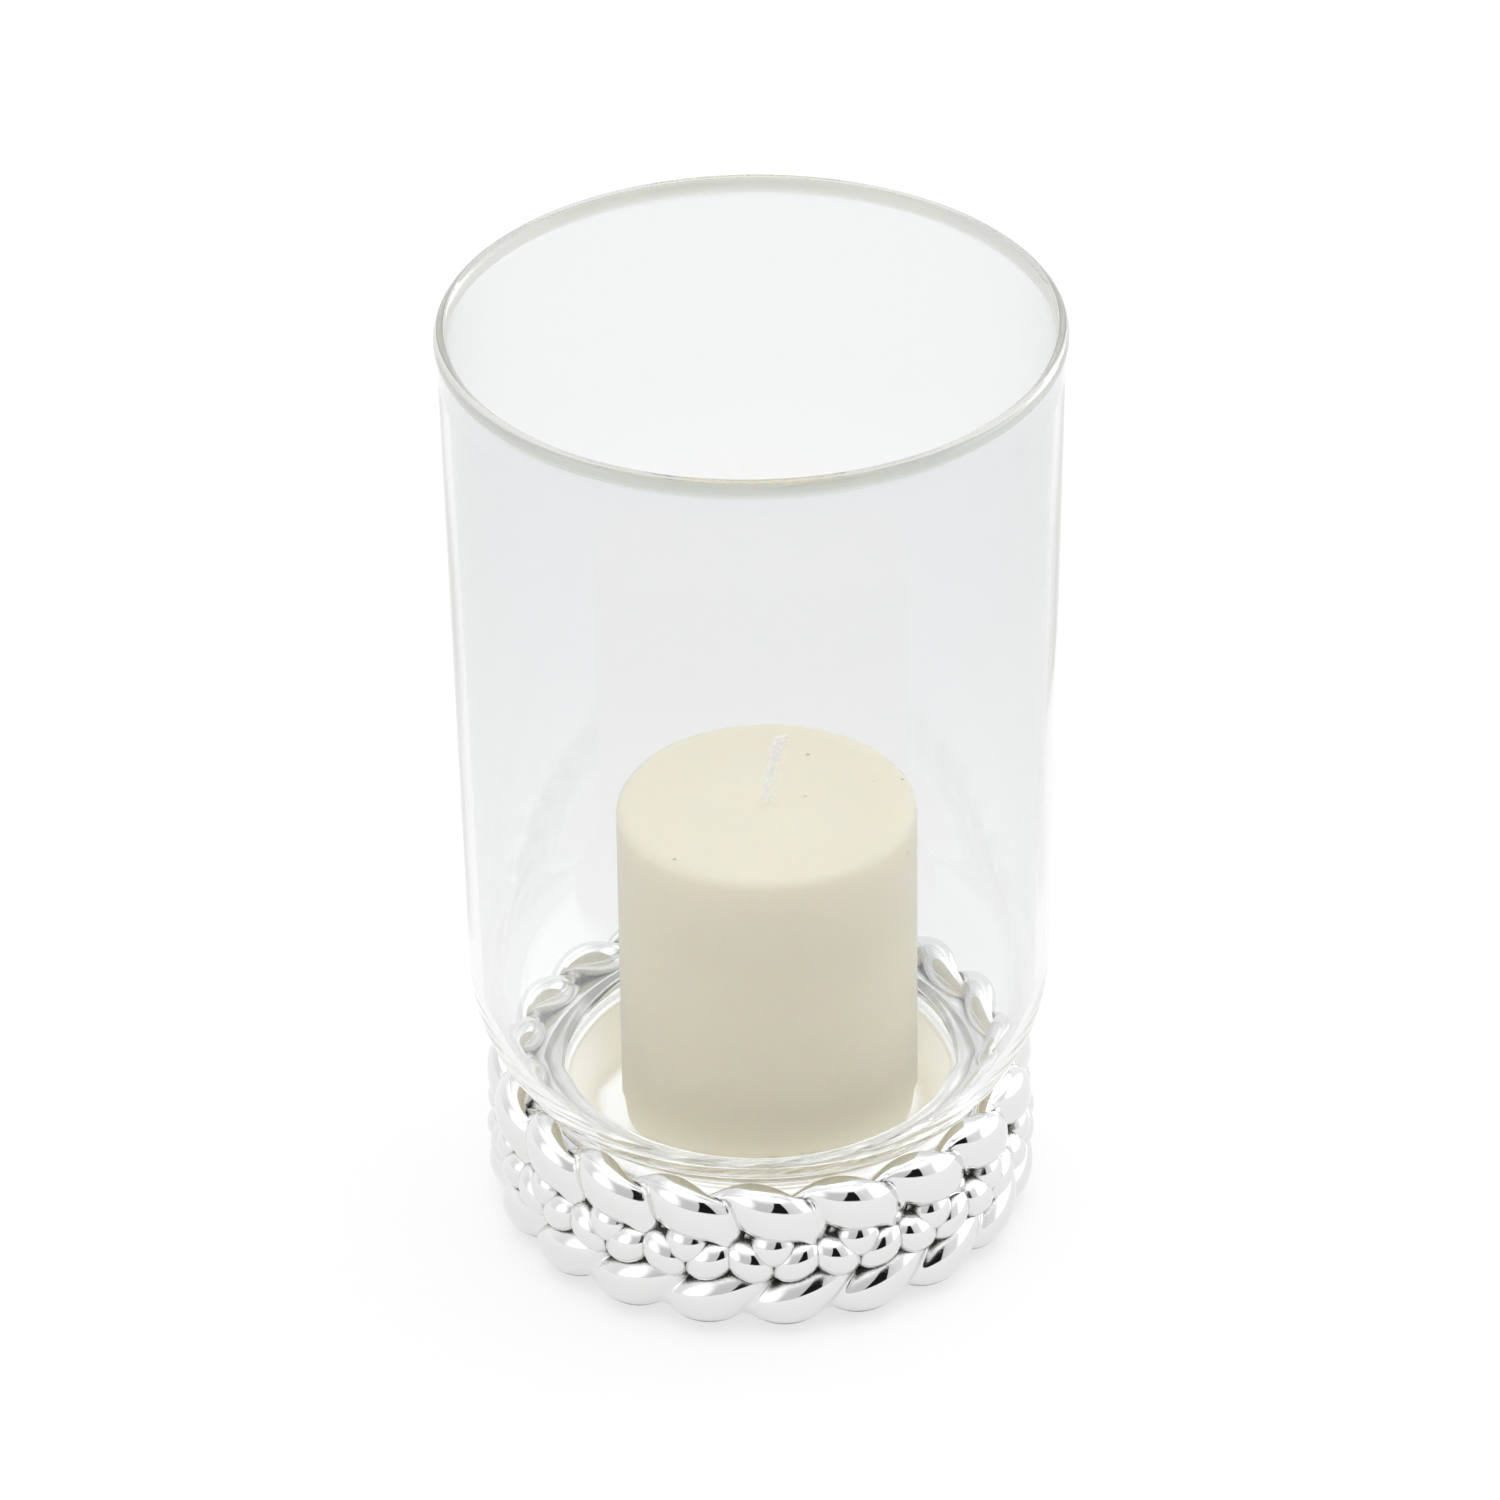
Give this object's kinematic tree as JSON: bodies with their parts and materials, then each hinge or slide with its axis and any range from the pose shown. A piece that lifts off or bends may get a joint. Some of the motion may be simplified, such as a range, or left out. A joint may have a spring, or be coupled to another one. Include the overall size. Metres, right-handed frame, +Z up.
{
  "type": "hurricane candle lantern",
  "caption": "Round silver-plated base of rope lobes and berries that holds a pillar candle under an open glass chimney.",
  "frame": {"origin": "middle of the underside, on the table", "axes": "+Z up along the axis of the glass, -Y the front"},
  "size_m": [0.1544, 0.1544, 0.2544],
  "materials": {
    "silver_plate": "mirror polish, slightly warm, dark in the crevices",
    "well_silver": "spun silver plate, soft polish",
    "felt": "dense black wool felt",
    "clear_glass": "clear, fire-polished rim",
    "ivory_wax": "smooth ivory paraffin wax, satin",
    "cotton_wick": "braided white cotton",
    "tin": "dull tin"
  },
  "bodies": {
    "base": {"base_felt_pad": "felt", "base_plate": "well_silver", "lower_rope_band": "silver_plate", "berry_band": "silver_plate", "upper_leaf_band": "silver_plate", "candle_well": "well_silver"},
    "glass": {"glass_chimney": "clear_glass"},
    "candle": {"candle_wax": "ivory_wax", "candle_wick": "cotton_wick", "wick_sustainer": "tin"}
  },
  "joints": [
    {"name": "glass_lift", "type": "slide", "parent": "base", "child": "glass", "axis": [0, 0, 1], "range_m": [0, 0.12]},
    {"name": "candle_lift", "type": "slide", "parent": "base", "child": "candle", "axis": [0, 0, 1], "range_m": [0, 0.245]}
  ]
}
